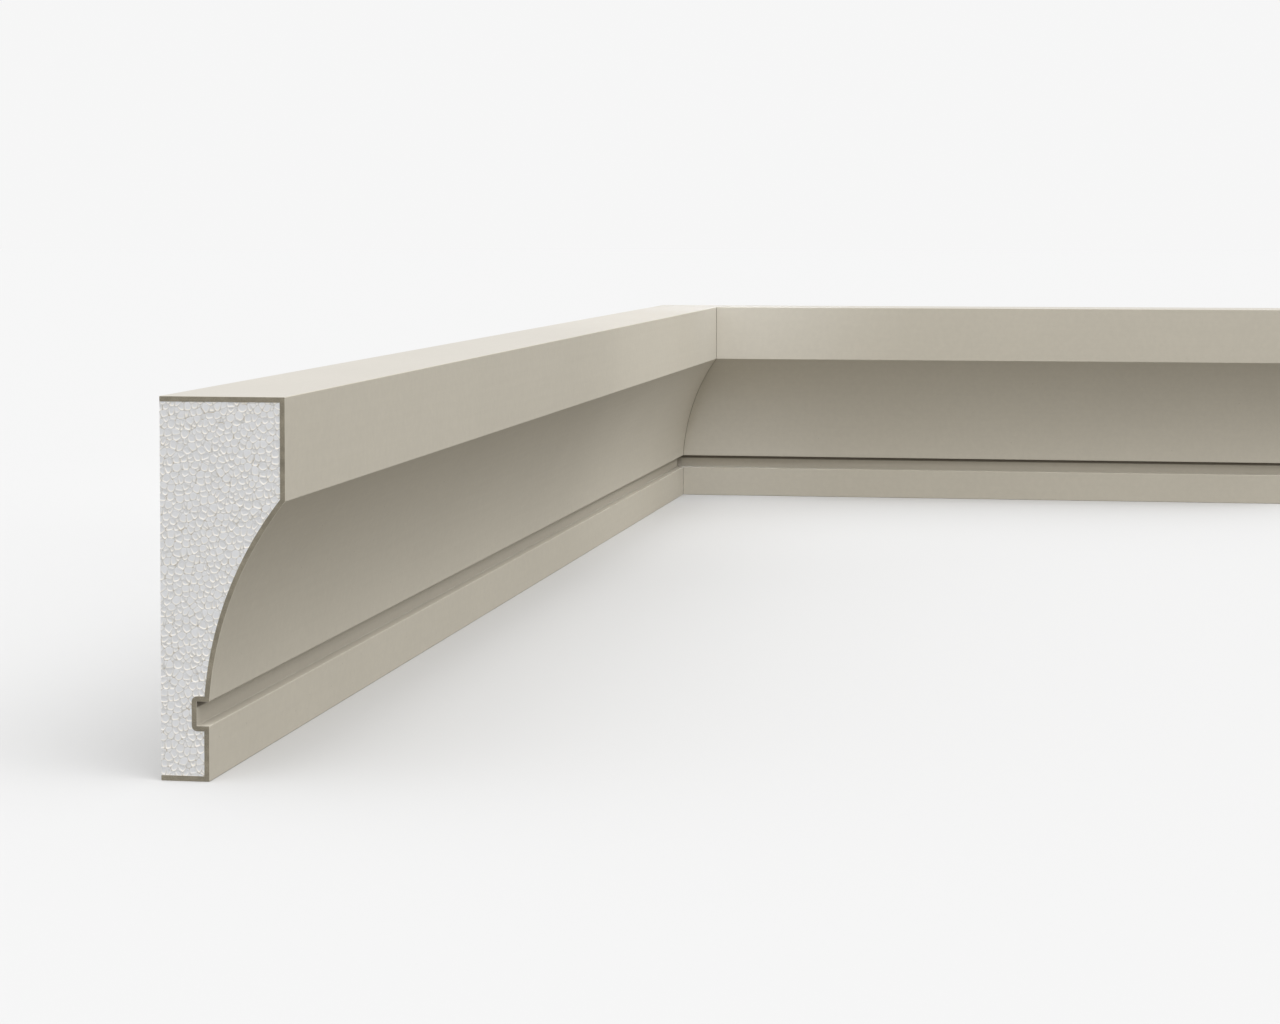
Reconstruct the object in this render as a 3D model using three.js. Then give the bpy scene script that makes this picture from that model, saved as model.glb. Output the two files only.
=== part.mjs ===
// A cove cornice that turns an inside corner of a wall. It is made of two lengths, each a foam core
// under a thin hard coat, that meet in a mitre at the corner and are cut square at their far ends.
// The coat wraps the top, the moulded face and the underside; the back is bare foam, and the square
// ends show the section. Millimetres, +Z up, standing on its underside: the origin is the middle of
// the plan's bounding rectangle, the long left length runs along Y and the short right one along X.
import * as THREE from "three";

// The section, from the top down. A reach is measured out from the wall.
const HEIGHT = 238;
const PROJECTION = 80; // reach of the fascia
const FASCIA_HEIGHT = 64;
const COVE_RADIUS = 224;
const GROOVE_HEIGHT = 15;
const GROOVE_DEPTH = 8; // in from the band's face
const BAND_HEIGHT = 34.5;
const BAND_PROJECTION = 31; // reach of the band, and of the cove's foot
const COAT_THICKNESS = 3.3;
const BOND_GAP = 0.3; // clearance between the coat's back and the foam

// The run, measured along the walls from the inside corner to the square cuts.
const LEFT_LENGTH = 1960;
const RIGHT_LENGTH = 780;
const MITRE_JOINT = 0.5; // width of the joint between the two mitre cuts

// How finely the round stretches are faceted.
const COVE_STEPS = 28;
const ROUND_STEPS = 5;

// Colours by eye, from the lit faces and the cut end.
const coatMaterial = new THREE.MeshStandardMaterial({ color: 0xc9c3b4, roughness: 0.8, metalness: 0 });
const foamMaterial = new THREE.MeshStandardMaterial({ color: 0xe9e9e6, roughness: 0.95, metalness: 0 });

// Points of a clockwise arc, with both ends.
function arc(centre, radius, from, to, steps) {
  const points = [];
  for (let i = 0; i <= steps; i++) {
    const angle = THREE.MathUtils.lerp(from, to, i / steps);
    points.push(new THREE.Vector2(Math.cos(angle), Math.sin(angle)).multiplyScalar(radius).add(centre));
  }
  return points;
}

// The cove's arc is hollow towards the room, so its centre lies out and below, square to its chord.
function coveCentre() {
  const foot = new THREE.Vector2(BAND_PROJECTION, BAND_HEIGHT + GROOVE_HEIGHT);
  const head = new THREE.Vector2(PROJECTION, HEIGHT - FASCIA_HEIGHT);
  const chord = head.clone().sub(foot);
  const away = Math.sqrt(COVE_RADIUS ** 2 - chord.lengthSq() / 4);
  const square = new THREE.Vector2(chord.y, -chord.x).normalize();
  return foot.clone().add(head).divideScalar(2).addScaledVector(square, away);
}

// The cove from its foot to the fascia, on a face that lies the inset behind the finished one.
function cove(inset) {
  const centre = coveCentre();
  const radius = COVE_RADIUS + inset;
  const footHeight = BAND_HEIGHT + GROOVE_HEIGHT + inset;
  const from = Math.PI - Math.asin((footHeight - centre.y) / radius);
  const to = Math.acos((PROJECTION - inset - centre.x) / radius);
  return arc(centre, radius, from, to, COVE_STEPS);
}

// A corner of the groove's back. The finished face turns it sharply; the foam keeps the coat's
// thickness all round it, so its face there is round.
function grooveCorner(height, inset, from, to) {
  const corner = new THREE.Vector2(BAND_PROJECTION - GROOVE_DEPTH, height);
  return inset > 0 ? arc(corner, inset, from, to, ROUND_STEPS) : [corner];
}

// The moulded face from the underside's wall edge up to the top's wall edge, the inset inwards.
function face(inset) {
  const bandReach = BAND_PROJECTION - inset;
  const bandTop = BAND_HEIGHT - inset;
  return [
    new THREE.Vector2(0, inset),
    new THREE.Vector2(bandReach, inset),
    new THREE.Vector2(bandReach, bandTop),
    ...grooveCorner(BAND_HEIGHT, inset, -Math.PI / 2, -Math.PI),
    ...grooveCorner(BAND_HEIGHT + GROOVE_HEIGHT, inset, Math.PI, Math.PI / 2),
    ...cove(inset),
    new THREE.Vector2(PROJECTION - inset, HEIGHT - inset),
    new THREE.Vector2(0, HEIGHT - inset),
  ];
}

const foamSection = () => face(COAT_THICKNESS + BOND_GAP);
const coatSection = () => [...face(0), ...face(COAT_THICKNESS).reverse()];

// One piece of a length: the section, mirrored for the right-hand length, drawn out from the mitre
// at the corner to the square cut. The mitre cut runs back from the wall by as much as it reaches out.
function lengthPiece(name, section, side, length, material) {
  const shape = new THREE.Shape(section.map((point) => new THREE.Vector2(side * point.x, point.y)));
  const geometry = new THREE.ExtrudeGeometry(shape, { depth: length, steps: 1, bevelEnabled: false });
  const position = geometry.getAttribute("position");
  for (let i = 0; i < position.count; i++) {
    if (position.getZ(i) === 0) {
      position.setZ(i, Math.abs(position.getX(i)) + MITRE_JOINT / Math.SQRT2);
    }
  }
  geometry.computeVertexNormals();
  const piece = new THREE.Mesh(geometry, material);
  piece.name = name;
  piece.rotation.x = Math.PI / 2; // stands the section up, with the run along -Y
  return piece;
}

function mouldingLength(name, side, length) {
  const group = new THREE.Group();
  group.add(lengthPiece(`${name}_foam_core`, foamSection(), side, length, foamMaterial));
  group.add(lengthPiece(`${name}_coat`, coatSection(), side, length, coatMaterial));
  return group;
}

const cornice = new THREE.Group();
const leftLength = mouldingLength("left_length", 1, LEFT_LENGTH);
const rightLength = mouldingLength("right_length", -1, RIGHT_LENGTH);
rightLength.rotation.z = Math.PI / 2; // along +X, with its back to the other wall
cornice.add(leftLength, rightLength);
for (const length of [leftLength, rightLength]) {
  length.position.set(-RIGHT_LENGTH / 2, LEFT_LENGTH / 2, 0); // the inside corner
}

export default cornice;
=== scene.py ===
"""Dresses the solids of a coated-foam cornice that turns an inside corner of a wall.

Two lengths meet in a mitre. Each is a core of expanded foam under a thin, hard, pale beige coat, and
is cut square at its far end, where the foam's beads and the coat's thickness show. All lengths here
are in metres, in the solids' own frame: +Z up, the long left length along Y with its back to -X, the
short right length along X with its back to +Y.
"""
import itertools
import math
import random

import bmesh
import bpy
from bpy.props import (
    FloatProperty,
    FloatVectorProperty,
    IntProperty,
    PointerProperty,
)
from mathutils import Euler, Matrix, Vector, kdtree


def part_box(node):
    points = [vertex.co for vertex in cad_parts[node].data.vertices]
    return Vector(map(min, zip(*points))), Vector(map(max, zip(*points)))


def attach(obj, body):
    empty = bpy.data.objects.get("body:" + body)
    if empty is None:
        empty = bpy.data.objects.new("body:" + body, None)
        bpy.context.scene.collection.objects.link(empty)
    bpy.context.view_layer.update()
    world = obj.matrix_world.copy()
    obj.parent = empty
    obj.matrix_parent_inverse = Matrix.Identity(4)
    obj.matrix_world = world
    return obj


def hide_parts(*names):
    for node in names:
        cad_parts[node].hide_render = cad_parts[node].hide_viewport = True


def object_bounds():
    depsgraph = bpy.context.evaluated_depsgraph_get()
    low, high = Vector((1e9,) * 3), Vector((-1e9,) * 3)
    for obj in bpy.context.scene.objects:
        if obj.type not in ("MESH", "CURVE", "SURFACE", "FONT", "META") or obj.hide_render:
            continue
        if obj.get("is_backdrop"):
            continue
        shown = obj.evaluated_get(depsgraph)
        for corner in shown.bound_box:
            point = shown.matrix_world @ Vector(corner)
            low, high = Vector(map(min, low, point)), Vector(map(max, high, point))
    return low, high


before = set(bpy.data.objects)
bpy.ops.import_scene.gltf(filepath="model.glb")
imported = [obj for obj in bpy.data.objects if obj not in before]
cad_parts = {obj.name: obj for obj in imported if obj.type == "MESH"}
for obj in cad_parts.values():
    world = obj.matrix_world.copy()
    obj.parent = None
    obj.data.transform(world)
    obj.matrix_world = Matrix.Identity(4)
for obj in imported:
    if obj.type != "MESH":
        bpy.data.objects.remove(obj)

bl_info = {
    "name": "Coated-foam cornice",
    "version": (1, 0, 0),
    "blender": (4, 5, 0),
    "location": "View3D > Sidebar > Cornice",
    "description": "Dresses the solids of a coated-foam cornice that turns an inside corner",
    "category": "Object",
}

BODY = "root"
UP = Vector((0, 0, 1))
TINY = 0.00001  # points nearer to each other than this are one
SQUARELY = 0.9999  # least cosine between two ways that are the same
IN_PLANE = math.radians(0.1)  # faces that turn by less are one flat face


class Length:
    """One straight length: its solids, and which way its moulded face and its square cut look."""

    def __init__(self, side, out, end):
        self.side = side
        self.coat_node = f"{side}_length_coat"
        self.foam_node = f"{side}_length_foam_core"
        self.out = Vector(out)
        self.end = Vector(end)
        self.mitre = (self.out - self.end).normalized()

    def faces(self, face, direction):
        """Whether a mesh face looks squarely that way."""
        return face.normal.dot(direction) > SQUARELY

    def is_bare(self, face):
        """Whether a mesh face is a sawn one or lies at the wall."""
        return any(self.faces(face, way) for way in (self.end, self.mitre, -self.out))


LENGTHS = (
    Length("left", out=(1, 0, 0), end=(0, -1, 0)),
    Length("right", out=(0, -1, 0), end=(1, 0, 0)),
)


# What a user would change


class CoatSettings(bpy.types.PropertyGroup):
    """Sizes and colours of the hard coat."""

    colour: FloatVectorProperty(
        name="Coat colour",
        description="Colour of the finished face",
        subtype="COLOR",
        size=4,
        min=0,
        max=1,
        default=(0.60, 0.56, 0.475, 1),
    )
    cut_colour: FloatVectorProperty(
        name="Cut colour",
        description="Colour of the coat where it is sawn through",
        subtype="COLOR",
        size=4,
        min=0,
        max=1,
        default=(0.28, 0.253, 0.198, 1),
    )
    arris: FloatProperty(
        name="Arris",
        description="Width of the softened arrises that run along a length",
        unit="LENGTH",
        min=0,
        default=0.0008,
    )
    cut_arris: FloatProperty(
        name="Cut arris",
        description="Width of the arrises round the sawn ends",
        unit="LENGTH",
        min=0,
        default=0.0003,
    )
    grain: FloatProperty(
        name="Grain",
        description="Size of the coat's sand grains",
        unit="LENGTH",
        min=0.0001,
        default=0.0006,
    )
    # Painted shade: the dark line under the groove's ceiling is shade painted into the coat's colour.
    shade_line: FloatProperty(
        name="Shade line",
        description="Height of the dark line under the groove's ceiling",
        unit="LENGTH",
        min=0.0005,
        default=0.0034,
    )
    # Painted shade: the colour the groove is darkened towards where its shade is deepest.
    shade_colour: FloatVectorProperty(
        name="Shade colour",
        description="Colour of the dust in the groove, where it is thickest",
        subtype="COLOR",
        size=4,
        min=0,
        max=1,
        default=(0.213, 0.19, 0.158, 1),
    )
    # Painted shade: how far the foot of the groove's back and the mitre are darkened.
    back_shade: FloatProperty(
        name="Dust on the back",
        description="How thick the dust is at the foot of the groove's back and at the mitre",
        min=0,
        max=1,
        default=0.4,
    )
    # Painted shade: how far the flat top is darkened, for the way the light falls on it.
    top_dust: FloatProperty(
        name="Dust on the top",
        description="How thick the dust is on the flat top",
        min=0,
        max=1,
        default=0.35,
    )
    # Painted shade: the grey that the flat top is darkened towards.
    top_shade_colour: FloatVectorProperty(
        name="Top dust colour",
        description="Colour of the dust on the flat top",
        subtype="COLOR",
        size=4,
        min=0,
        max=1,
        default=(0.4, 0.4, 0.42, 1),
    )


class FoamSettings(bpy.types.PropertyGroup):
    """Sizes and colours of the foam and its beads."""

    colour: FloatVectorProperty(
        name="Foam colour",
        description="Colour of the beads",
        subtype="COLOR",
        size=4,
        min=0,
        max=1,
        default=(0.843, 0.855, 0.882, 1),
    )
    wall_colour: FloatVectorProperty(
        name="Wall face colour",
        description="Colour of the wire-cut back",
        subtype="COLOR",
        size=4,
        min=0,
        max=1,
        default=(0.89, 0.885, 0.87, 1),
    )
    # Painted shade: the crevices between the beads are darkened towards this colour, on the sawn ends and
    # on the wall face.
    crevice_shade_colour: FloatVectorProperty(
        name="Crevice colour",
        description="Colour between the beads",
        subtype="COLOR",
        size=4,
        min=0,
        max=1,
        default=(0.60, 0.595, 0.58, 1),
    )
    # Painted highlight: the lower rims of the sawn beads, where light from above catches them, are
    # lightened towards this colour.
    rim_highlight_colour: FloatVectorProperty(
        name="Rim colour",
        description="Colour of the beads' torn lower rims",
        subtype="COLOR",
        size=4,
        min=0,
        max=1,
        default=(1.0, 0.95, 0.86, 1),
    )
    # Painted shade: the pits where three beads meet are darkened towards this colour; the mesh has no
    # hollow there.
    pit_shade_colour: FloatVectorProperty(
        name="Pit colour",
        description="Colour of the pits where three beads meet",
        subtype="COLOR",
        size=4,
        min=0,
        max=1,
        default=(0.52, 0.44, 0.32, 1),
    )
    bond_gap: FloatProperty(
        name="Bond gap",
        description="Clearance between the solids of foam and coat, which the real bond closes",
        unit="LENGTH",
        min=0,
        default=0.0003,
    )
    bead: FloatProperty(
        name="Bead",
        description="Spacing of the foam's beads",
        unit="LENGTH",
        min=0.002,
        default=0.0048,
    )
    net: FloatProperty(
        name="Net",
        description="Spacing of the mesh on a sawn end",
        unit="LENGTH",
        min=0.0002,
        default=0.000375,
    )
    crevice_width: FloatProperty(
        name="Crevice width",
        description="How far a crevice between two beads spreads on a sawn end",
        unit="LENGTH",
        min=0.0001,
        default=0.00028,
    )
    crevice_depth: FloatProperty(
        name="Crevice depth",
        description="How deep the crevices between the beads are on a sawn end",
        unit="LENGTH",
        min=0,
        default=0.00014,
    )
    dish: FloatProperty(
        name="Dish",
        description="How deep the hollowest sawn beads are at their lower rims",
        unit="LENGTH",
        min=0,
        default=0.00056,
    )
    seed: IntProperty(
        name="Seed",
        description="Start of the beads' random places",
        default=11,
    )


class StageSettings(bpy.types.PropertyGroup):
    """Camera, floor and light."""

    eye: FloatVectorProperty(
        name="Eye",
        description="Where the camera stands",
        subtype="XYZ",
        unit="LENGTH",
        size=3,
        default=(0.2020, -2.7170, 0.3464),
    )
    pitch: FloatProperty(
        name="Pitch",
        description="How far the camera looks down",
        subtype="ANGLE",
        default=math.radians(2),
    )
    yaw: FloatProperty(
        name="Yaw",
        description="How far the camera looks to the left of +Y",
        subtype="ANGLE",
        default=math.radians(9.542),
    )
    lens: FloatProperty(
        name="Lens",
        description="Focal length in millimetres",
        default=82.89,
    )
    rise: FloatProperty(
        name="Shift",
        description="Upright shift of the lens, as a share of the picture's width",
        default=-0.148,
    )
    sky: FloatProperty(
        name="Sky",
        description="Strength of the light from all round",
        min=0,
        default=1.05,
    )
    key: FloatProperty(
        name="Key",
        description="Strength of the soft light from above the room, midway between the two lengths",
        min=0,
        default=1.35,
    )
    key_height: FloatProperty(
        name="Key height",
        description="How high that light stands above the floor's plane",
        subtype="ANGLE",
        default=math.radians(60),
    )
    key_softness: FloatProperty(
        name="Key softness",
        description="How wide that light looks from the moulding",
        subtype="ANGLE",
        default=math.radians(60),
    )
    corner_box: FloatProperty(
        name="Corner box",
        description="Power of the soft box on the right length at the mitre, in watts",
        min=0,
        default=0.062,
    )
    corner_box_size: FloatProperty(
        name="Corner box size",
        description="Side of that box",
        unit="LENGTH",
        min=0,
        default=0.12,
    )
    corner_box_spread: FloatProperty(
        name="Corner box spread",
        description="How wide the grid in front of it lets its light spread",
        subtype="ANGLE",
        default=math.radians(23),
    )
    corner_box_colour: FloatVectorProperty(
        name="Corner box colour",
        description="Colour of its light, cool to balance the warm light between the two lengths",
        subtype="COLOR",
        size=3,
        min=0,
        max=1,
        default=(0.77, 0.84, 1),
    )
    corner_box_place: FloatVectorProperty(
        name="Corner box place",
        description="Where it stands, from the inside corner",
        subtype="XYZ",
        unit="LENGTH",
        size=3,
        default=(0.42, -0.62, 1.0),
    )
    corner_box_aim: FloatVectorProperty(
        name="Corner box aim",
        description="Where it looks, from the inside corner, in heights of the section",
        subtype="XYZ",
        size=3,
        default=(0.34, -0.34, 0.85),
    )
    left_box: FloatProperty(
        name="Left box",
        description="Power of the soft box on the left length near the corner, in watts",
        min=0,
        default=0.12,
    )
    left_box_size: FloatProperty(
        name="Left box size",
        description="Side of that box",
        unit="LENGTH",
        min=0,
        default=0.45,
    )
    left_box_spread: FloatProperty(
        name="Left box spread",
        description="How wide the grid in front of it lets its light spread",
        subtype="ANGLE",
        default=math.radians(25),
    )
    left_box_colour: FloatVectorProperty(
        name="Left box colour",
        description="Colour of its light",
        subtype="COLOR",
        size=3,
        min=0,
        max=1,
        default=(1, 1, 1),
    )
    left_box_place: FloatVectorProperty(
        name="Left box place",
        description="Where it stands, from the inside corner",
        subtype="XYZ",
        unit="LENGTH",
        size=3,
        default=(0.75, -1.1, 0.8),
    )
    left_box_aim: FloatVectorProperty(
        name="Left box aim",
        description="Where it looks, from the inside corner, in heights of the section",
        subtype="XYZ",
        size=3,
        default=(0.35, -2.1, 0.88),
    )
    floor_colour: FloatVectorProperty(
        name="Floor colour",
        description="Colour of the floor as it is seen",
        subtype="COLOR",
        size=4,
        min=0,
        max=1,
        default=(0.652, 0.652, 0.652, 1),
    )
    floor_glow: FloatVectorProperty(
        name="Floor glow",
        description="Colour and strength of the light that the floor gives the moulding from below",
        subtype="COLOR",
        size=4,
        min=0,
        max=1,
        default=(0.215, 0.2, 0.17, 1),
    )
    backdrop: FloatVectorProperty(
        name="Backdrop",
        description="Colour behind the floor",
        subtype="COLOR",
        size=4,
        min=0,
        max=1,
        default=(0.924, 0.924, 0.924, 1),
    )


# Editing by hand, in code


def only(piece):
    """Makes one object the active and only selected one."""
    if bpy.context.object and bpy.context.object.mode != "OBJECT":
        bpy.ops.object.mode_set(mode="OBJECT")
    bpy.ops.object.select_all(action="DESELECT")
    piece.select_set(True)
    bpy.context.view_layer.objects.active = piece


def edit(piece, mode="FACE"):
    """Opens a piece in edit mode with nothing selected, and returns its mesh."""
    only(piece)
    bpy.ops.object.mode_set(mode="EDIT")
    bpy.ops.mesh.select_mode(type=mode)
    bpy.ops.mesh.select_all(action="DESELECT")
    return bmesh.from_edit_mesh(piece.data)


def select_faces(piece, wanted):
    """Selects the faces that the test picks, and no others, in edit mode."""
    bpy.ops.mesh.select_all(action="DESELECT")
    mesh = bmesh.from_edit_mesh(piece.data)
    for face in mesh.faces:
        if wanted(face):
            face.select_set(True)
    bmesh.update_edit_mesh(piece.data)


def lies_on(way, plane):
    """A test for faces that lie wholly on the plane that looks that way, so far out."""
    return lambda face: all(corner.co.dot(way) > plane - TINY for corner in face.verts)


def inside_corner():
    """Where the two walls and the underside meet."""
    low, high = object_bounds()
    return Vector((low.x, high.y, low.z))


def apply_modifiers(piece):
    only(piece)
    for modifier in list(piece.modifiers):
        bpy.ops.object.modifier_apply(modifier=modifier.name)


def start_from_solid(node, name, length):
    """A copy of a solid as one clean closed mesh, with each flat face whole."""
    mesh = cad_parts[node].data.copy()
    mesh.name = name
    mesh.materials.clear()
    piece = bpy.data.objects.new(name, mesh)
    bpy.context.scene.collection.objects.link(piece)
    edit(piece)
    bpy.ops.mesh.select_all(action="SELECT")
    bpy.ops.mesh.customdata_custom_splitnormals_clear()
    bpy.ops.mesh.remove_doubles(threshold=TINY)
    bpy.ops.mesh.dissolve_limited(angle_limit=IN_PLANE)
    for way in (length.end, length.mitre):
        select_faces(piece, lies_on(way, max(corner.co.dot(way) for corner in mesh.vertices)))
        bpy.ops.mesh.dissolve_faces()
    bpy.ops.object.mode_set(mode="OBJECT")
    return piece


def check_closed(piece):
    """Stops the script if a finished piece has an open or a doubled edge."""
    mesh = bmesh.new()
    mesh.from_mesh(piece.data)
    faulty = sum(not edge.is_manifold for edge in mesh.edges)
    volume = mesh.calc_volume(signed=True)
    mesh.free()
    if faulty or volume <= 0:
        raise RuntimeError(f"{piece.name}: {faulty} faulty edges, volume {volume}")


def finish_piece(piece, node):
    check_closed(piece)
    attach(piece, BODY)
    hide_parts(node)


# Nodes


def add(tree, kind, inputs=None, **settings):
    """A new node with its settings, and a value or a link for each input, by its name or number."""
    node = tree.nodes.new(kind)
    for key, value in settings.items():
        setattr(node, key, value)
    for key, value in (inputs or {}).items():
        if isinstance(value, bpy.types.NodeSocket):
            tree.links.new(value, node.inputs[key])
        else:
            node.inputs[key].default_value = value
    return node


def math_node(tree, operation, *values):
    return add(tree, "ShaderNodeMath", dict(enumerate(values)), operation=operation).outputs[0]


def ramp(tree, value, low, high, to_low=0.0, to_high=1.0):
    """A value's range made into another, smoothly and clamped."""
    inputs = {"Value": value, "From Min": low, "From Max": high, "To Min": to_low, "To Max": to_high}
    return add(tree, "ShaderNodeMapRange", inputs, interpolation_type="SMOOTHSTEP").outputs[0]


def mix_colour(tree, share, first, second):
    return add(tree, "ShaderNodeMix", {0: share, 6: first, 7: second}, data_type="RGBA").outputs[2]


def bump(tree, height, strength, distance, normal=None):
    """A surface roughened by a height, on top of another roughening if one is given."""
    inputs = {"Height": height, "Strength": strength, "Distance": distance}
    if normal:
        inputs["Normal"] = normal
    return add(tree, "ShaderNodeBump", inputs).outputs[0]


def attribute(tree, name):
    return add(tree, "ShaderNodeAttribute", attribute_name=name).outputs["Fac"]


def scaled(tree, vector, size):
    """Coordinates in units of a size, given as a value or a socket."""
    scale = math_node(tree, "DIVIDE", 1.0, size)
    inputs = {"Vector": vector, "Scale": scale}
    return add(tree, "ShaderNodeVectorMath", inputs, operation="SCALE").outputs[0]


def drawn_out(tree, vector, along, size, shortened=0.985):
    """Coordinates in units of a size, but shortened along a length, so that marks run along it."""
    stretch = Vector((1, 1, 1)) - shortened * Vector(map(abs, along))
    return add(tree, "ShaderNodeMapping", {"Vector": vector, "Scale": stretch / size}).outputs[0]


def noise(tree, vector, detail=2.0, roughness=0.5):
    inputs = {"Vector": vector, "Scale": 1.0, "Detail": detail, "Roughness": roughness}
    return add(tree, "ShaderNodeTexNoise", inputs).outputs[0]


def cells(tree, vector, feature="F1"):
    return add(tree, "ShaderNodeTexVoronoi", {"Vector": vector, "Scale": 1.0}, feature=feature).outputs


def shade(colour, factor):
    """A darker or lighter neighbour of a colour."""
    return [min(1, factor * c) for c in colour[:3]] + [1]


def new_group(name, inputs, outputs):
    """An empty node group. An input is its name, its kind and its default; an output is a value."""
    group = bpy.data.node_groups.new(name, "ShaderNodeTree")
    for label, kind, default in inputs:
        socket = group.interface.new_socket(label, in_out="INPUT", socket_type=f"NodeSocket{kind}")
        if default is not None:
            socket.default_value = default
    for label in outputs:
        group.interface.new_socket(label, in_out="OUTPUT", socket_type="NodeSocketFloat")
    start = group.nodes.new("NodeGroupInput").outputs
    end = group.nodes.new("NodeGroupOutput").inputs
    return group, start, end


def sand_grain_group():
    """Fine sand in a trowelled coat: its height, and the odd pinhole."""
    group, start, end = new_group(
        "Sand grain",
        [("Vector", "Vector", None), ("Grain size", "Float", 0.0006)],
        ["Height", "Pinholes"],
    )
    here, size = start["Vector"], start["Grain size"]
    grains_a_swell = 9.0
    swell_height = 0.8
    fine = noise(group, scaled(group, here, size), roughness=0.6)
    swell_size = math_node(group, "MULTIPLY", size, grains_a_swell)
    swell = noise(group, scaled(group, here, swell_size), detail=1.0)
    group.links.new(math_node(group, "MULTIPLY_ADD", swell, swell_height, fine), end["Height"])
    grains_a_pinhole = 22.0
    without_pinhole = 0.72
    space_size = math_node(group, "MULTIPLY", size, grains_a_pinhole)
    spaces = cells(group, scaled(group, here, space_size))
    middle = ramp(group, spaces["Distance"], low=0.028, high=0.05, to_low=1.0, to_high=0.0)
    chosen = add(group, "ShaderNodeSeparateColor", {"Color": spaces["Color"]}).outputs[0]
    few = math_node(group, "GREATER_THAN", chosen, without_pinhole)
    group.links.new(math_node(group, "MULTIPLY", middle, few), end["Pinholes"])
    return group


def broad_mottle_group():
    """Slow changes of tone over a surface."""
    group, start, end = new_group(
        "Broad mottle",
        [("Vector", "Vector", None), ("Patch size", "Float", 0.08)],
        ["Mottle"],
    )
    here = scaled(group, start["Vector"], start["Patch size"])
    patches = noise(group, here, detail=4.0, roughness=0.55)
    group.links.new(ramp(group, patches, low=0.3, high=0.7), end["Mottle"])
    return group


def placed(tree, group, inputs):
    return add(tree, "ShaderNodeGroup", inputs, node_tree=group).outputs


def new_material(name, roughness, specular):
    """A new material, with its node tree, its shader and the object's coordinates."""
    material = bpy.data.materials.new(name)
    material.use_nodes = True
    tree = material.node_tree
    shader = tree.nodes["Principled BSDF"]
    shader.inputs["Roughness"].default_value = roughness
    shader.inputs["Specular IOR Level"].default_value = specular
    here = tree.nodes.new("ShaderNodeTexCoord").outputs["Object"]
    return material, tree, shader.inputs, here


def coat_face(length, settings, grain, mottle):
    """The finished face: smooth, pale beige and finely sandy, with shade painted into the groove and onto
    the flat top.
    """
    name = f"Mineral coat, {length.side} length"
    material, tree, surface, here = new_material(name, roughness=0.85, specular=0.3)
    trowel_share = 0.35
    grain_share = 0.12
    pinhole_share = 0.5
    lines = noise(tree, drawn_out(tree, here, length.end, size=0.0035), detail=3.0, roughness=0.6)
    trowelled = ramp(tree, lines, low=0.3, high=0.7)
    patches = placed(tree, mottle, {"Vector": here, "Patch size": 0.12})["Mottle"]
    patches = math_node(tree, "MULTIPLY", patches, 1 - trowel_share)
    share = math_node(tree, "MULTIPLY_ADD", trowelled, trowel_share, patches)
    colour = mix_colour(tree, share, shade(settings.colour, 1.015), shade(settings.colour, 0.985))
    sand = placed(tree, grain, {"Vector": here, "Grain size": settings.grain})
    share = math_node(tree, "MULTIPLY", ramp(tree, sand["Height"], low=0.62, high=1.12), grain_share)
    colour = mix_colour(tree, share, colour, shade(settings.colour, 0.7))
    share = math_node(tree, "MULTIPLY", sand["Pinholes"], pinhole_share)
    colour = mix_colour(tree, share, colour, settings.cut_colour)
    # Painted shade: the groove darkened towards the shade colour.
    colour = mix_colour(tree, attribute(tree, "recess"), colour, settings.shade_colour)
    # Painted shade: the flat top darkened towards its grey.
    colour = mix_colour(tree, attribute(tree, "top_dust"), colour, settings.top_shade_colour)
    tree.links.new(colour, surface["Base Color"])
    dullness = ramp(tree, lines, low=0.3, high=0.7, to_low=0.8, to_high=0.88)
    tree.links.new(dullness, surface["Roughness"])
    ridges = bump(tree, lines, strength=0.12, distance=0.0001)
    height = math_node(tree, "SUBTRACT", sand["Height"], sand["Pinholes"])
    tree.links.new(bump(tree, height, strength=0.5, distance=0.0001, normal=ridges), surface["Normal"])
    return material


def coat_cut(settings, grain, mottle):
    """The coat sawn through: darker, with its sand showing as light and dark specks."""
    material, tree, surface, here = new_material("Mineral coat, sawn", roughness=0.95, specular=0.2)
    speck_size = 1.2 * settings.grain
    speck_share = 0.6
    sand = placed(tree, grain, {"Vector": here, "Grain size": speck_size})
    patches = placed(tree, mottle, {"Vector": here, "Patch size": 0.02})["Mottle"]
    specks = math_node(tree, "MULTIPLY", ramp(tree, sand["Height"], low=0.7, high=1.15), speck_share)
    share = math_node(tree, "MULTIPLY_ADD", patches, 1 - speck_share, specks)
    colour = mix_colour(tree, share, shade(settings.cut_colour, 0.8), shade(settings.cut_colour, 1.25))
    tree.links.new(colour, surface["Base Color"])
    tree.links.new(bump(tree, sand["Height"], strength=0.9, distance=0.0003), surface["Normal"])
    return material


def foam_cut(settings):
    """The sawn end: the beads' own relief is in the mesh, which also says where each finish goes, where
    shade is painted into the crevices and pits and where highlights are painted onto the lower rims.
    """
    material, tree, surface, here = new_material("Foam, sawn end", roughness=0.7, specular=0.35)
    dull, pale = shade(settings.colour, 0.975), shade(settings.colour, 1.015)
    colour = mix_colour(tree, attribute(tree, "bead_tone"), dull, pale)
    # Painted highlight on the lower rims
    colour = mix_colour(tree, attribute(tree, "rim"), colour, settings.rim_highlight_colour)
    # Painted shade in the crevices
    colour = mix_colour(tree, attribute(tree, "crevice"), colour, settings.crevice_shade_colour)
    # Painted shade in the pits
    colour = mix_colour(tree, attribute(tree, "pit"), colour, settings.pit_shade_colour)
    tree.links.new(colour, surface["Base Color"])
    pores_a_bead = 12
    skin = noise(tree, scaled(tree, here, settings.bead / pores_a_bead), detail=1.0)
    tree.links.new(bump(tree, skin, strength=0.3, distance=0.00008), surface["Normal"])
    return material


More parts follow.
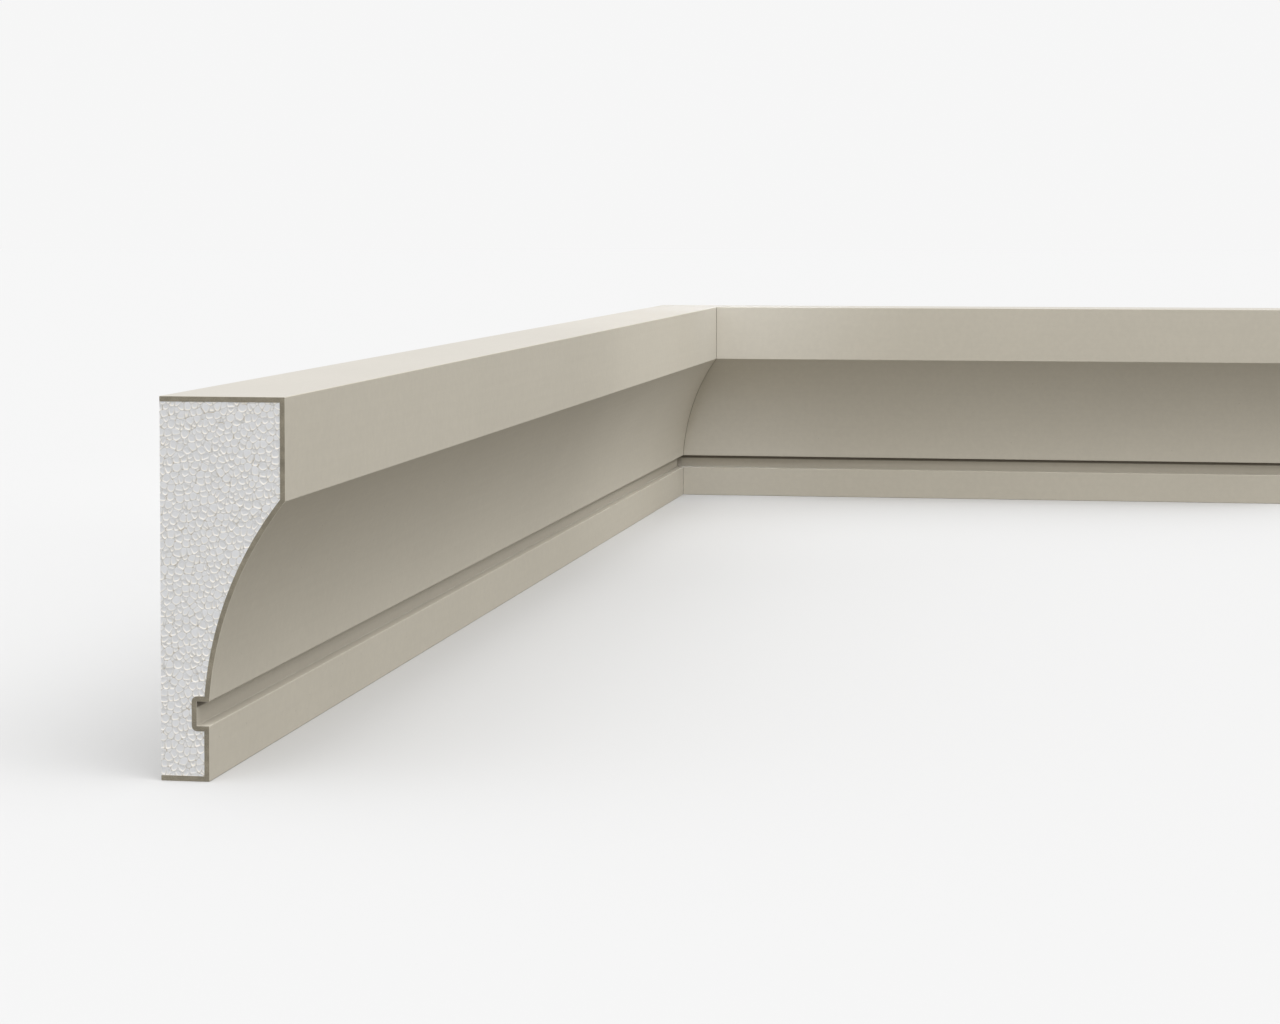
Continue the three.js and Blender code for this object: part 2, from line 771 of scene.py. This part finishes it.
def foam_wall(length, settings, mottle):
    """The bare back: wire-cut foam, its beads drawn by the shader over so long a face, with shade painted
    into the crevices between them.
    """
    name = f"Foam, wall face, {length.side} length"
    material, tree, surface, here = new_material(name, roughness=0.75, specular=0.35)
    sway = (0.6, 0.6, 0.6)
    bead_share = 0.6
    crevice_share = 0.4
    in_beads = scaled(tree, here, settings.bead)
    wobble = add(tree, "ShaderNodeTexNoise", {"Vector": in_beads, "Scale": 1.5, "Detail": 1.0})
    swayed = {0: wobble.outputs["Color"], 1: sway, 2: in_beads}
    beads_at = add(tree, "ShaderNodeVectorMath", swayed, operation="MULTIPLY_ADD").outputs[0]
    border = cells(tree, beads_at, "DISTANCE_TO_EDGE")["Distance"]
    crevice = ramp(tree, border, low=0.0, high=0.14, to_low=1.0, to_high=0.0)
    clear = ramp(tree, noise(tree, in_beads), low=0.35, high=0.6, to_low=0.45, to_high=1.0)
    crevice = math_node(tree, "MULTIPLY", crevice, clear)
    tone = add(tree, "ShaderNodeSeparateColor", {"Color": cells(tree, beads_at)["Color"]}).outputs[0]
    patches = placed(tree, mottle, {"Vector": here, "Patch size": 0.15})["Mottle"]
    patches = math_node(tree, "MULTIPLY", patches, 1 - bead_share)
    share = math_node(tree, "MULTIPLY_ADD", tone, bead_share, patches)
    colour = mix_colour(tree, share, shade(settings.wall_colour, 0.95), shade(settings.wall_colour, 1.02))
    # Painted shade in the crevices between the beads
    share = math_node(tree, "MULTIPLY", crevice, crevice_share)
    colour = mix_colour(tree, share, colour, settings.crevice_shade_colour)
    tree.links.new(colour, surface["Base Color"])
    lines = noise(tree, drawn_out(tree, here, length.end, size=0.006))
    wire = bump(tree, lines, strength=0.4, distance=0.0002)
    height = math_node(tree, "SUBTRACT", 1.0, crevice)
    tree.links.new(bump(tree, height, strength=0.8, distance=0.0003, normal=wire), surface["Normal"])
    return material


# The coats

FACET_TURN = math.radians(20)  # more than the turn between two facets of the cove
COAT_SMOOTH = math.radians(6)
MITRE_SHADE = 0.002  # how far from the mitre the painted shade in the groove is thick
LINE_FADE = 0.3  # how far the painted dark shade line fades out below, in heights of the line
THIN_SHADE = 0.08  # painted shade just under the dark line


def touches(node, reach=0.001):
    """A test for points that lie within reach of a solid's corners."""
    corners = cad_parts[node].data.vertices
    tree = kdtree.KDTree(len(corners))
    for n, corner in enumerate(corners):
        tree.insert(corner.co, n)
    tree.balance()
    return lambda point: tree.find(point)[2] < reach


def soften_arrises(piece, length, settings):
    """Softens the coat's arrises on the room side, those along the length more than the sawn ones.
    The mitre's edges stay sharp, for they meet in a filled joint."""
    on_foam = touches(length.foam_node)
    mesh = edit(piece, "EDGE")
    weight = mesh.edges.layers.float.new("bevel_weight_edge")
    for edge in mesh.edges:
        mitred = any(length.faces(face, length.mitre) for face in edge.link_faces)
        flat = edge.calc_face_angle(0) < FACET_TURN
        if mitred or flat or any(on_foam(corner.co) for corner in edge.verts):
            continue
        sawn = any(map(length.is_bare, edge.link_faces))
        edge[weight] = settings.cut_arris / settings.arris if sawn else 1.0
    bmesh.update_edit_mesh(piece.data)
    bpy.ops.object.mode_set(mode="OBJECT")
    bevel = piece.modifiers.new("Arrises", "BEVEL")
    bevel.limit_method = "WEIGHT"
    bevel.offset_type = "WIDTH"
    bevel.width = settings.arris
    bevel.segments = 4
    apply_modifiers(piece)


def shade_groove(piece, length, settings):
    """Notes where shade is painted into the groove: densest under its ceiling and at the mitre."""
    near = 0.0001
    mesh = edit(piece)
    square = [face for face in mesh.faces if length.faces(face, length.out)]
    reach = min(face.calc_center_median().dot(length.out) for face in square)

    def is_back(face):
        return length.faces(face, length.out) and face.calc_center_median().dot(length.out) < reach + near

    heights = [corner.co.z for face in square if is_back(face) for corner in face.verts]
    floor, ceiling = min(heights) - settings.arris, max(heights) + settings.arris
    line_foot = ceiling - settings.shade_line
    line_end = line_foot - LINE_FADE * settings.shade_line
    corner = inside_corner()
    cuts = [(UP * line_foot, UP), (UP * line_end, UP)]
    cuts += [(corner - length.mitre * inset, length.mitre) for inset in (MITRE_SHADE, 2 * MITRE_SHADE)]
    for place, way in cuts:
        select_faces(piece, is_back)
        bpy.ops.mesh.bisect(plane_co=place, plane_no=way, threshold=TINY / 10)
    bpy.ops.object.mode_set(mode="OBJECT")
    # Painted shade: how far each point of the groove is darkened towards the shade colour.
    recess = piece.data.attributes.new("recess", "FLOAT", "POINT").data
    for vertex, shading in zip(piece.data.vertices, recess):
        depth = vertex.co.dot(length.out) - reach
        if -near < depth < settings.arris + near and floor - near < vertex.co.z < ceiling + near:
            at_mitre = (corner - vertex.co).dot(length.mitre) < MITRE_SHADE + near
            if vertex.co.z > line_foot - near:
                shading.value = 1.0
            elif abs(vertex.co.z - line_end) < near and not at_mitre:
                shading.value = THIN_SHADE
            else:
                shading.value = settings.back_shade


def shade_top(piece, settings):
    """Notes where shade is painted on the flat top."""
    top = max(vertex.co.z for vertex in piece.data.vertices)
    top_dust = piece.data.attributes.new("top_dust", "FLOAT", "POINT").data
    for vertex, shading in zip(piece.data.vertices, top_dust):
        if vertex.co.z > top - TINY:
            shading.value = settings.top_dust


def paint_coat(piece, length, face, cut):
    """Gives the sawn faces and the edges at the wall the sawn finish, and the rest the face's."""
    piece.data.materials.append(face)
    piece.data.materials.append(cut)
    edit(piece)
    select_faces(piece, length.is_bare)
    piece.active_material_index = 1
    bpy.ops.object.material_slot_assign()
    bpy.ops.object.mode_set(mode="OBJECT")


class CORNICE_OT_coats(bpy.types.Operator):
    """Models the coat of each length and gives it its finish"""

    bl_idname = "cornice.coats"
    bl_label = "Coats"
    bl_options = {"REGISTER", "UNDO"}

    def execute(self, context):
        settings = context.scene.cornice_coat
        grain = bpy.data.node_groups.get("Sand grain") or sand_grain_group()
        mottle = bpy.data.node_groups.get("Broad mottle") or broad_mottle_group()
        cut = coat_cut(settings, grain, mottle)
        for length in LENGTHS:
            piece = start_from_solid(length.coat_node, f"{length.side}_coat", length)
            soften_arrises(piece, length, settings)
            shade_groove(piece, length, settings)
            shade_top(piece, settings)
            paint_coat(piece, length, coat_face(length, settings, grain, mottle), cut)
            only(piece)
            bpy.ops.object.shade_smooth_by_angle(angle=COAT_SMOOTH)
            finish_piece(piece, length.coat_node)
        return {"FINISHED"}


# The foam cores

FOAM_SMOOTH = math.radians(70)
RELIEF = 0.002  # deeper than any bead is hollow
SETBACK = 0.00008  # how far the whole sawn end is pressed in, so that it stays inside the solid
UPPER_CREVICE = 0.25  # share of a crevice's painted shade at a bead's top, which has all of it at the bottom
UPPER_HOLLOW = 0.4  # share of a bead's hollow at its top, likewise
SHALLOW_RIM = 0.35  # share of the rim's painted highlight on a flat bead, which is all on the hollowest
RIM_STRENGTH = 10  # makes the rim's painted highlight full over most of its width
PIT_STRENGTH = 0.9  # share of the pit's painted shade in its middle
WITHOUT_PIT = 0.65  # share of the places where three beads meet that have no pit


def meet_coat(piece, length, gap):
    """Moves the faces under the coat out by the bond gap, so that the foam fills the coat."""
    mesh = edit(piece)
    moves = {}
    for corner in mesh.verts:
        under = [face.normal for face in corner.link_faces if not length.is_bare(face)]
        if not under:
            continue
        first = under[0]
        last = min(under, key=first.dot)
        moves[corner] = (first + last) * gap / (1 + first.dot(last))
    for corner, move in moves.items():
        corner.co += move
    bmesh.update_edit_mesh(piece.data)
    bpy.ops.object.mode_set(mode="OBJECT")


def end_plane(length):
    """How far out the foam's sawn end lies, along the way it looks."""
    low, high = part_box(length.foam_node)
    return max(low.dot(length.end), high.dot(length.end))


def net_end(piece, length, settings):
    """Cuts the sawn end into square tiles, and halves their edges down to a fine net."""
    halvings = 4
    tile = settings.net * 2**halvings
    long_edge = 1.6 * settings.net
    merged = settings.net / 8
    sliver = settings.net / 12
    low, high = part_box(length.foam_node)
    on_end = lies_on(length.end, end_plane(length))
    edit(piece)
    for way in (length.out, UP):
        across = Vector(map(abs, way))
        first, last = low.dot(across), high.dot(across)
        for n in range(math.ceil((last - first) / tile - 0.5)):
            place = across * (first + (n + 0.5) * tile)
            select_faces(piece, on_end)
            bpy.ops.mesh.bisect(plane_co=place, plane_no=across, threshold=merged)
    select_faces(piece, on_end)
    bpy.ops.mesh.quads_convert_to_tris()
    bpy.ops.mesh.select_mode(type="EDGE")
    for halving in range(halvings):
        bpy.ops.mesh.select_all(action="DESELECT")
        mesh = bmesh.from_edit_mesh(piece.data)
        for edge in mesh.edges:
            if edge.calc_length() > long_edge and any(map(on_end, edge.link_faces)):
                edge.select_set(True)
        bmesh.update_edit_mesh(piece.data)
        bpy.ops.mesh.subdivide(number_cuts=1)
    bpy.ops.mesh.select_mode(type="FACE")
    select_faces(piece, on_end)
    bpy.ops.mesh.quads_convert_to_tris()
    bpy.ops.mesh.beautify_fill(angle_limit=math.pi)
    for sweep in range(2):
        select_faces(piece, on_end)
        bpy.ops.mesh.dissolve_degenerate(threshold=sliver)
    select_faces(piece, on_end)
    bpy.ops.mesh.quads_convert_to_tris()
    bpy.ops.object.mode_set(mode="OBJECT")


class Beads:
    """The foam's beads near a sawn end: a close packing, turned and shaken out of line."""

    packing = [Vector(corner) for corner in ((0, 0, 0), (0, 0.5, 0.5), (0.5, 0, 0.5), (0.5, 0.5, 0))]
    packing_turn = Euler((0.7, 0.4, 0.2))  # square to nothing else
    shake = 0.3  # share of the beads' spacing
    flattest = 0.25  # hollow of the flattest bead, where the hollowest has 1
    neighbours = 8  # nearest beads that can share a border with one
    rounding_width = 0.9  # how round a bead's corners are, in widths of a crevice
    least_slant = 0.4  # least share of the way between two beads that counts as along the cut

    def __init__(self, low, high, end, settings):
        self.end = end
        self.rounding = self.rounding_width * settings.crevice_width
        self.places = []
        self.traits = []
        draw = random.Random(settings.seed)
        cell = settings.bead * math.sqrt(2)
        middle = (low + high) / 2
        count = math.ceil((high - low).length / 2 / cell)
        turn = self.packing_turn.to_matrix() * cell
        for block in itertools.product(range(-count, count + 1), repeat=3):
            for corner in self.packing:
                place = middle + turn @ (Vector(block) + corner)
                if all(a < x < b for a, x, b in zip(low, place, high)):
                    shaken = Vector([draw.uniform(-self.shake, self.shake) for axis in range(3)])
                    self.places.append(place + shaken * settings.bead)
                    self.traits.append(
                        {
                            "tone": draw.random(),
                            "hollow": draw.uniform(self.flattest, 1),
                            "odds": draw.random(),
                        }
                    )
        self.tree = kdtree.KDTree(len(self.places))
        for n, place in enumerate(self.places):
            self.tree.insert(place, n)
        self.tree.balance()

    def at(self, point):
        """The bead that holds a point, how far in from its border the point is, and a draw shared by
        the three beads that are nearest. Where three meet, the way in is less than nothing."""
        (_, own, near), *others = self.tree.find_n(point, 1 + self.neighbours)
        total = 0.0
        for _, other, far in others:
            apart = self.places[other] - self.places[own]
            gap = apart.length
            lean = abs(apart.dot(self.end)) / gap
            slant = max(self.least_slant, math.sqrt(1 - lean * lean))
            border = (far * far - near * near) / (2 * gap * slant)
            total += math.exp(-border / self.rounding)
        odds = sum(self.traits[n]["odds"] for n in (own, others[0][1], others[1][1])) % 1
        return own, -self.rounding * math.log(total), odds


def smooth_step(low, high, value):
    share = min(1.0, max(0.0, (value - low) / (high - low)))
    return share * share * (3 - 2 * share)


def rising(start, share):
    """A value that rises from a start to 1."""
    return start + (1 - start) * share


def carve_beads(piece, length, settings):
    """Presses the crevices between the beads into the sawn end and hollows each bead, most at its
    lower rim, where the saw tore it. Notes where the crevices, pits and rims are, for the shade
    painted into the crevices and pits and the highlight painted onto the lower rims."""
    low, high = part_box(length.foam_node)
    plane = end_plane(length)
    margin = Vector((1, 1, 1)) * 2 * settings.bead
    corners = [corner + length.end * (plane - corner.dot(length.end)) for corner in (low, high)]
    first, last = (Vector(map(pick, *corners)) for pick in (min, max))
    beads = Beads(first - margin, last + margin, length.end, settings)
    width = settings.crevice_width
    data = piece.data
    names = ("crevice", "pit", "rim", "bead_tone")
    for name in names:
        data.attributes.new(name, "FLOAT", "POINT")
    crevice, pit, rim, tone = (data.attributes[name].data for name in names)
    for n, vertex in enumerate(data.vertices):
        if vertex.co.dot(length.end) < plane - TINY:
            continue
        own, border, odds = beads.at(vertex.co)
        bead = beads.traits[own]
        fall = (beads.places[own].z - vertex.co.z) / (0.5 * settings.bead)
        lower = 0.5 + 0.5 * max(-1.0, min(1.0, fall))
        seam = math.exp(-((max(0.0, border) / width) ** 2))
        inside = smooth_step(0.4 * width, 3.2 * width, border)
        hollow = settings.dish * bead["hollow"] * rising(UPPER_HOLLOW, lower)
        meeting = smooth_step(0.05, 0.4, -border / beads.rounding)
        edge = RIM_STRENGTH * inside * (1 - inside) * rising(SHALLOW_RIM, bead["hollow"])
        # Painted shade in the crevices, strongest at a bead's lower border
        crevice[n].value = seam * rising(UPPER_CREVICE, lower)
        # Painted shade in the pits
        pit[n].value = PIT_STRENGTH * meeting * (odds > WITHOUT_PIT)
        # Painted highlight on the lower rims
        rim[n].value = min(1.0, edge * lower**2)
        tone[n].value = bead["tone"]
        vertex.co -= length.end * (SETBACK + settings.crevice_depth * seam + inside * hollow)
    data.update()


def paint_foam(piece, length, cut, wall):
    """Gives the sawn end its own finish, and the rest the wall face's."""
    piece.data.materials.append(wall)
    piece.data.materials.append(cut)
    plane = end_plane(length)
    edit(piece)
    select_faces(piece, lambda face: face.calc_center_median().dot(length.end) > plane - RELIEF)
    piece.active_material_index = 1
    bpy.ops.object.material_slot_assign()
    bpy.ops.object.mode_set(mode="OBJECT")


class CORNICE_OT_foam_cores(bpy.types.Operator):
    """Models the foam core of each length, with its beads on the sawn end, and gives it its finish"""

    bl_idname = "cornice.foam_cores"
    bl_label = "Foam cores"
    bl_options = {"REGISTER", "UNDO"}

    def execute(self, context):
        settings = context.scene.cornice_foam
        mottle = bpy.data.node_groups.get("Broad mottle") or broad_mottle_group()
        cut = foam_cut(settings)
        for length in LENGTHS:
            piece = start_from_solid(length.foam_node, f"{length.side}_foam_core", length)
            meet_coat(piece, length, settings.bond_gap)
            net_end(piece, length, settings)
            carve_beads(piece, length, settings)
            paint_foam(piece, length, cut, foam_wall(length, settings, mottle))
            only(piece)
            bpy.ops.object.shade_smooth_by_angle(angle=FOAM_SMOOTH)
            finish_piece(piece, length.foam_node)
        return {"FINISHED"}


# The stage

FLOOR_SIDE = 60  # reaches to the horizon
FLOOR_GAP = 0.0001  # keeps the floor clear of the underside
KEY_DISTANCE = 3  # where the sun lamp is drawn, which doesn't change its light
SENSOR_WIDTH = 36  # millimetres
SOFT_BOXES = ("corner_box", "left_box")


def eye_or_lamp(tree, seen, felt, output):
    """Shows one shader to the camera and another to the light that bounces."""
    rays = tree.nodes.new("ShaderNodeLightPath").outputs["Is Camera Ray"]
    both = add(tree, "ShaderNodeMixShader", {0: rays, 1: felt.outputs[0], 2: seen.outputs[0]})
    tree.links.new(both.outputs[0], tree.nodes[output].inputs["Surface"])


def floor_material(settings):
    """Pale to the eye, but an even, dim lamp to the moulding, so that its hollow stays in shade."""
    material = bpy.data.materials.new("Studio floor")
    material.use_nodes = True
    tree = material.node_tree
    tree.nodes.remove(tree.nodes["Principled BSDF"])
    seen = add(tree, "ShaderNodeBsdfDiffuse", {"Color": settings.floor_colour})
    felt = add(tree, "ShaderNodeEmission", {"Color": settings.floor_glow})
    eye_or_lamp(tree, seen, felt, "Material Output")
    return material


def light_sky(scene, settings):
    """Even light from all round, behind a plain pale backdrop."""
    scene.world = bpy.data.worlds.new("Studio")
    scene.world.use_nodes = True
    tree = scene.world.node_tree
    sky = tree.nodes["Background"]
    sky.inputs["Strength"].default_value = settings.sky
    sky.inputs["Color"].default_value = (1, 1, 1, 1)
    backdrop = add(tree, "ShaderNodeBackground", {"Color": settings.backdrop})
    eye_or_lamp(tree, backdrop, sky, "World Output")


def key_light(settings):
    """A wide soft light from above, which reaches both moulded faces alike."""
    level = Vector((1, -1, 0)).normalized()
    way = level * math.cos(settings.key_height) + UP * math.sin(settings.key_height)
    turn = way.to_track_quat("Z", "Y").to_euler()
    bpy.ops.object.light_add(type="SUN", location=way * KEY_DISTANCE, rotation=turn)
    light = bpy.context.object
    light.name = "key"
    light.data.energy = settings.key
    light.data.angle = settings.key_softness


def soft_box(name, height, settings):
    """A small gridded light near the mitre, with the settings that bear its name."""
    corner = inside_corner()
    place = corner + Vector(getattr(settings, f"{name}_place"))
    aim = corner + height * Vector(getattr(settings, f"{name}_aim"))
    turn = (aim - place).to_track_quat("-Z", "Y").to_euler()
    bpy.ops.object.light_add(type="AREA", location=place, rotation=turn)
    light = bpy.context.object
    light.name = name
    light.visible_camera = False
    light.data.shape = "SQUARE"
    light.data.size = getattr(settings, f"{name}_size")
    light.data.spread = getattr(settings, f"{name}_spread")
    light.data.color = getattr(settings, f"{name}_colour")
    light.data.energy = getattr(settings, name)


class CORNICE_OT_stage(bpy.types.Operator):
    """Lays the floor, lights it and sets up the camera"""

    bl_idname = "cornice.stage"
    bl_label = "Stage"
    bl_options = {"REGISTER", "UNDO"}

    def execute(self, context):
        scene = context.scene
        settings = scene.cornice_stage
        low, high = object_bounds()
        centre = (low + high) / 2

        under = (centre.x, centre.y, low.z - FLOOR_GAP)
        bpy.ops.mesh.primitive_plane_add(size=FLOOR_SIDE, location=under)
        floor = context.object
        floor.name = "floor"
        floor.data.materials.append(floor_material(settings))
        floor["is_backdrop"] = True

        light_sky(scene, settings)
        key_light(settings)
        for name in SOFT_BOXES:
            soft_box(name, high.z - low.z, settings)

        bpy.ops.object.camera_add(
            location=settings.eye,
            rotation=(math.pi / 2 - settings.pitch, 0, settings.yaw),
        )
        camera = context.object
        camera.name = "camera"
        camera.data.sensor_width = SENSOR_WIDTH
        camera.data.lens = settings.lens
        camera.data.shift_y = settings.rise
        scene.camera = camera
        scene.view_settings.view_transform = "Standard"
        return {"FINISHED"}


# The sidebar


class CORNICE_PT_panel(bpy.types.Panel):
    """The cornice's settings and operators"""

    bl_label = "Cornice"
    bl_idname = "CORNICE_PT_panel"
    bl_space_type = "VIEW_3D"
    bl_region_type = "UI"
    bl_category = "Cornice"

    def draw(self, context):
        layout = self.layout
        scene = context.scene
        for settings, operator in (
            (scene.cornice_coat, CORNICE_OT_coats),
            (scene.cornice_foam, CORNICE_OT_foam_cores),
            (scene.cornice_stage, CORNICE_OT_stage),
        ):
            box = layout.box()
            for key in settings.bl_rna.properties.keys():
                if key not in ("rna_type", "name"):
                    box.prop(settings, key)
            box.operator(operator.bl_idname)


CLASSES = (
    CoatSettings,
    FoamSettings,
    StageSettings,
    CORNICE_OT_coats,
    CORNICE_OT_foam_cores,
    CORNICE_OT_stage,
    CORNICE_PT_panel,
)


def register():
    for cls in CLASSES:
        bpy.utils.register_class(cls)
    bpy.types.Scene.cornice_coat = PointerProperty(type=CoatSettings)
    bpy.types.Scene.cornice_foam = PointerProperty(type=FoamSettings)
    bpy.types.Scene.cornice_stage = PointerProperty(type=StageSettings)


def unregister():
    del bpy.types.Scene.cornice_stage
    del bpy.types.Scene.cornice_foam
    del bpy.types.Scene.cornice_coat
    for cls in reversed(CLASSES):
        bpy.utils.unregister_class(cls)


def main():
    register()
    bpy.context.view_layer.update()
    bpy.ops.cornice.coats()
    bpy.ops.cornice.foam_cores()
    bpy.ops.cornice.stage()


if __name__ == "__main__":
    main()
